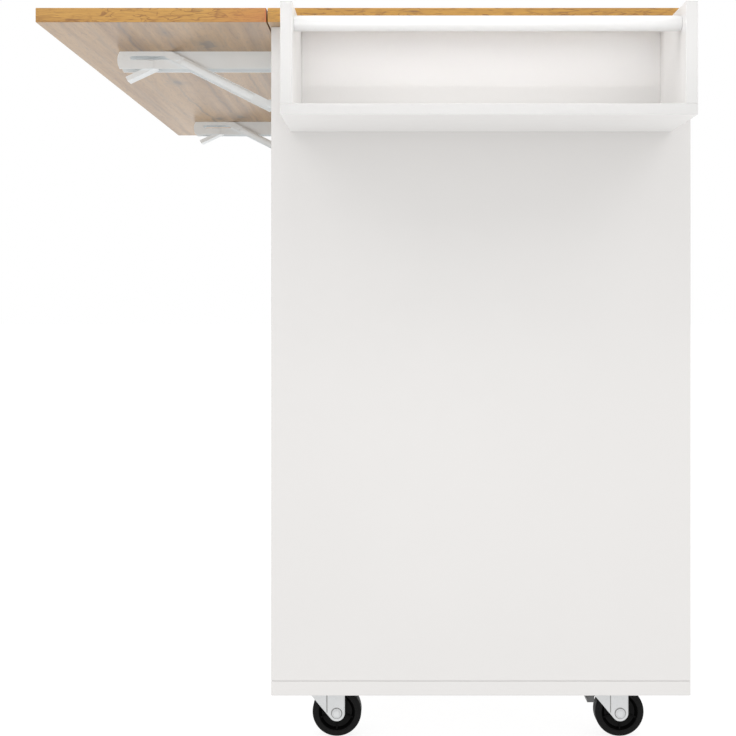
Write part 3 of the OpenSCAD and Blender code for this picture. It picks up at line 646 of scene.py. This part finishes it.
# all casters are alike, so one gives the limits of the field from its axle
SWIVEL, AXLE = PIVOT["swivel_rack_front"], PIVOT["roll_rack_front"]
TO_CREASE = CREASE_Y - CREASE_HALF + SWIVEL.y - AXLE.y
TO_TOP = FIELD_TOP - AXLE.z
LEAN_SIDE = Vector((math.cos(math.radians(FIELD_LEAN)), -math.sin(math.radians(FIELD_LEAN))))


def direction(y, z):
    return math.degrees(math.atan2(z, y))


def field_reach(angle, ray):
    """How far the field round the axle reaches along a ray from the axle."""
    if 180 <= angle <= 360 - FIELD_LEAN:
        return FIELD_R
    limits = [FIELD_R / -ray.x if ray.x < 0 else math.inf,
              TO_TOP / ray.y if ray.y > 0 else math.inf,
              TO_CREASE / ray.x if ray.x > 0 else math.inf]
    towards = ray.dot(LEAN_SIDE)
    limits.append(FIELD_R / towards if towards > 0 else math.inf)
    return min(limits)


def field_outline():
    """The rays from the axle to the outline of that field, with their lengths."""
    lean_z = (TO_CREASE * LEAN_SIDE.x - FIELD_R) / -LEAN_SIDE.y
    corners = [direction(-FIELD_R, TO_TOP), direction(TO_CREASE, TO_TOP),
               360 - FIELD_LEAN + 0.01, 360 + direction(TO_CREASE, lean_z)]
    for angle in sorted(set(corners + [i * 360 / 72 for i in range(72)])):
        ray = Vector((math.cos(math.radians(angle)), math.sin(math.radians(angle))))
        yield ray, field_reach(angle, ray)


def axle_rivets(corner):
    """A domed rivet inside a ring groove on each head of the axle."""
    profile = [(6.2, -SINK), (6.2, 0.35), (6.0, 0.5), (5.2, 0.5), (5.1, 0.05), (4.4, 0.05),
               (4.2, 0.6), (3.0, 0.85), (1.5, 0.98)]
    rivet = Shape()
    for out in SIDES:
        rivet.turned(profile, PIVOT[f"roll_{corner}"] + out * (FORK_FACE + AXLE_HEAD), out)
    rivet.piece(f"axle_rivets_{corner}", f"fork_{corner}", CASTER)


def fork_pressing(corner):
    """The fork's sheet is pressed out: one field round the axle with a dimple for its head,
    and one behind the upright crease."""
    swivel, axle = PIVOT[f"swivel_{corner}"], PIVOT[f"roll_{corner}"]
    crease = CREASE_Y + CREASE_HALF
    back = [Vector(corner_at) for corner_at in
            ((crease, BACK_FIELD_LOW), (crease, FIELD_TOP), (BACK_FIELD_Y, FIELD_TOP))]
    centre = sum(back, Vector((0, 0))) / len(back)
    press = Shape()
    for out in SIDES:
        face = axle.x + out.x * FORK_FACE
        sections = []
        for ray, reach in field_outline():
            section = [(reach, -SINK), (reach, 0.7), (reach - 0.25, PRESSED),
                       (DIMPLE_R + 0.3, PRESSED), (DIMPLE_R, 0.7), (DIMPLE_R - 0.1, -SINK)]
            sections.append([(face + out.x * height, axle.y + ray.x * far, axle.z + ray.y * far)
                             for far, height in section])
        press.skin(sections, loop=True)
        rings = []
        for height, share in ((-SINK, 1.0), (0.7, 1.0), (PRESSED, 0.97)):
            flat = [centre + (corner_at - centre) * share for corner_at in back]
            rings.append([(face + out.x * height, swivel.y + at.x, at.y) for at in flat])
        press.skin(rings)
    press.piece(f"fork_pressing_{corner}", f"fork_{corner}", CASTER)


def fork_painted_shade(corner):
    """Painted shade: dark grey rings round the axle's heads and a dark grey line along the
    crease, where shade falls in the gaps.
    """
    swivel, axle = PIVOT[f"swivel_{corner}"], PIVOT[f"roll_{corner}"]
    half, under, over = CREASE_HALF + 0.02, -0.1, 0.15
    line = ((-half, 32.6), (half, 34.2), (half, FIELD_TOP), (-half, FIELD_TOP))
    ring = [(6.35, under), (6.35, over), (DIMPLE_R, over), (DIMPLE_R, under)]
    shade_marks = Shape()
    for out in SIDES:
        shade_marks.turned(ring, axle + out * FORK_FACE, out, loop=True)
        face = axle.x + out.x * FORK_FACE
        shade_marks.skin([[(face + out.x * height, swivel.y + CREASE_Y + across, up)
                      for across, up in line] for height in (under, over)])
    shade_marks.piece(f"fork_painted_shade_{corner}", f"fork_{corner}", PAINTED_SHADE_GREY)


def wheel_ring(corner, name, profile, material):
    """A ring on each face of the wheel."""
    low, high = box(f"wheel_{corner}")
    ring = Shape()
    for out in SIDES:
        ring.turned(profile, PIVOT[f"roll_{corner}"] + out * (high.x - low.x) / 2, out, loop=True)
    ring.piece(f"{name}_{corner}", f"wheel_{corner}", material)


def wheel_rings(corner):
    """The steep wall round the dish, and a bead on the side wall."""
    steep = [(24.1, -2.95), (24.1, -0.25), (23.3, -0.35), (22.0, -1.4), (20.2, -2.95)]
    bead = [(24.6, -SINK), (24.9, 0.3), (25.4, 0.5), (27.6, 0.5), (28.2, 0.2), (28.4, -SINK)]
    wheel_ring(corner, "wheel_rims", steep, RIM)
    wheel_ring(corner, "wheel_beads", bead, WHEEL)


def brake_grip(corner):
    """Four grip lines across the brake pedal's toe, which slopes down from its pivot."""
    first, pitch, half, slope = 12.0, 2.6, 10.5, math.radians(34)
    pivot = PIVOT[f"brake_{corner}_lift"]
    along = Vector((0, math.cos(slope), -math.sin(slope)))
    up = Vector((0, math.sin(slope), math.cos(slope)))
    section = ((-0.6, 1.5), (-0.3, 2.1), (0.3, 2.1), (0.6, 1.5))
    grip = Shape()
    for line in range(4):
        grip.skin([[pivot + side * half + along * (first + line * pitch + step) + up * rise
                    for step, rise in section] for side in SIDES])
    grip.piece(f"brake_grip_{corner}", f"brake_{corner}", BRAKE)


# ------------------------------------------------ cabinet, doors and drawers

FRONT_BACK = box("door_left")[1].y
PLATE_SHEET = 2.5
PLATE_SCREWS = ((-20, -30), (-20, 30), (20, -30), (20, 30))
BOTTOM_SCREWS_Y = (-330, -130, 90)
COVERS_Y, COVERS_Z = (-340, 60), (115, 752, 893)
HINGE_SHEET, HINGE_SCREWS_Y, HINGE_SCREWS_IN = 0.85, -386.0, (8, 42)
PAD_IN, PAD_UP, PAD_DOWN = 9.5, 12.5, 12.0


def caster_screws():
    plate_low = box("caster_plates")[1].z - PLATE_SHEET
    screws = Shape()
    for corner in CORNERS:
        x, y = PIVOT[f"swivel_{corner}"].xy
        for dx, dy in PLATE_SCREWS:
            screws.turned(PLATE_SCREW, (x + dx, y + dy, plate_low), DOWN)
    screws.piece("caster_screws", "cabinet", ZINC)


def bottom_screws():
    """Screws up through the bottom board into the side panels and the divider."""
    screws = Shape()
    for board in ("side_rack", "divider", "side_towel"):
        for y in BOTTOM_SCREWS_Y:
            place = (middle(board).x, y, box("bottom_board")[0].z)
            screws.turned(BOARD_SCREW, place, DOWN)
    screws.piece("bottom_screws", "cabinet", ZINC)


def fixing_covers():
    covers = Shape()
    for x, inward in SIDE_FACES:
        for z in COVERS_Z:
            for y in COVERS_Y:
                covers.turned(COVER, (x, y, z), inward)
    covers.piece("fixing_covers", "cabinet", INSIDE)


def hinge_screws():
    """Two screws in the fixed half of each hinge, at the foot and the head of the doors."""
    low, high = box("door_hinges_fixed")
    heads = Shape()
    for x, inward in SIDE_FACES:
        for z in [low.z + up for up in HINGE_SCREWS_IN] + [high.z - up for up in HINGE_SCREWS_IN]:
            place = (x + inward.x * HINGE_SHEET, HINGE_SCREWS_Y, z)
            heads.turned(HINGE_SCREW, place, inward)
    heads.piece("hinge_screws", "cabinet", ZINC)


def knob_screw(front, side):
    """The screw of a knob, on the back of its door or drawer front."""
    knob = middle(f"{front}_{side}_knob")
    screw = Shape()
    screw.turned(KNOB_SCREW, (knob.x, FRONT_BACK, knob.z), BACKWARD)
    screw.piece(f"{front}_knob_screw_{side}", f"{front}_{side}", ZINC)


def door_pads(side):
    """Soft pads on the back of a door, along its free edge."""
    low, high = box(f"door_{side}")
    x = high.x - PAD_IN if side == "left" else low.x + PAD_IN
    pads = Shape()
    for z in (low.z + PAD_UP, high.z - PAD_DOWN):
        pads.turned(PAD, (x, FRONT_BACK, z), BACKWARD)
    pads.piece(f"door_pads_{side}", f"door_{side}", INSIDE)


for bracket in BRACKETS:
    bracket_screws(bracket)
    brace_rib(bracket)
for caster in CORNERS:
    axle_rivets(caster)
    fork_pressing(caster)
    fork_painted_shade(caster)
    wheel_rings(caster)
for caster in BRAKED:
    brake_grip(caster)
caster_screws()
bottom_screws()
fixing_covers()
hinge_screws()
for hand in ("left", "right"):
    knob_screw("drawer", hand)
    knob_screw("door", hand)
    door_pads(hand)

# ---------------------------------------------------------------- floor, light, camera, in m

FLOOR_HALF = 40.0
RACK_MIDDLE = -0.132


def floor():
    mesh = bpy.data.meshes.new("floor")
    corners = [(-1, -1), (1, -1), (1, 1), (-1, 1)]
    mesh.from_pydata([(x * FLOOR_HALF, y * FLOOR_HALF, 0) for x, y in corners], [],
                     [(0, 1, 2, 3)])
    obj = bpy.data.objects.new("floor", mesh)
    bpy.context.scene.collection.objects.link(obj)
    f = Finish("pale_floor", rough=0.9, specular=0.1)
    f.colour(f.clouded(f.noise(2.0, 2.0), grey(0.19), grey(0.21)))
    f.set(f.shader, **{"Emission Color": (1, 1, 1, 1), "Emission Strength": 0.86})
    mesh.materials.append(f.material)


def lamp(name, place, target, size, power, spread=180, height=None):
    """A round lamp, or a strip of that height. The camera does not see it."""
    data = bpy.data.lights.new(name, "AREA")
    data.shape = "RECTANGLE" if height else "DISK"
    data.size = size
    if height:
        data.size_y = height
    data.energy = power
    data.spread = math.radians(spread)
    obj = bpy.data.objects.new(name, data)
    obj.location = place
    obj.rotation_euler = (Vector(target) - Vector(place)).to_track_quat("-Z", "Y").to_euler()
    obj.visible_camera = False
    bpy.context.scene.collection.objects.link(obj)


def light():
    world = bpy.data.worlds.new("studio")
    world.use_nodes = True
    sky = world.node_tree.nodes["Background"]
    sky.inputs["Color"].default_value = (1, 1, 1, 1)
    sky.inputs["Strength"].default_value = 1.0
    bpy.context.scene.world = world
    lamp("key_left", (-2.0, 2.5, 3.6), (-0.4, 0, 0.6), 3.0, 34)
    lamp("key_right", (-2.0, -2.5, 3.6), (-0.4, 0, 0.6), 3.0, 34)
    lamp("front", (-3.6, 0, 0.55), (0, 0, 0.7), 1.4, 7.5)
    lamp("top", (0.6, -1.6, 3.6), (0, 0, 0.6), 2.0, 12)
    lamp("rack", (-0.98, -0.08, 1.95), (-0.46, -0.08, 0.85), 0.5, 0.52, spread=60)
    # a low strip that reaches the rack's back under the guard bar
    lamp("rack_fill", (-2.3, RACK_MIDDLE, 0.25), (-0.44, RACK_MIDDLE, 0.93), 0.5, 0.062,
         spread=7, height=0.08)


def camera():
    """Looks level along x. The shift sets the part where the photo has it."""
    data = bpy.data.cameras.new("camera")
    data.lens, data.sensor_width = 58.1, 36
    data.shift_x, data.shift_y = -0.0394, -0.0807
    data.clip_start, data.clip_end = 0.05, 200
    obj = bpy.data.objects.new("camera", data)
    obj.location = (-1.92275, -0.02925, 0.569)
    obj.rotation_euler = (math.radians(90), 0, math.radians(-90))
    bpy.context.scene.collection.objects.link(obj)
    bpy.context.scene.camera = obj


floor()
light()
camera()
bpy.context.scene.view_settings.view_transform = "Standard"
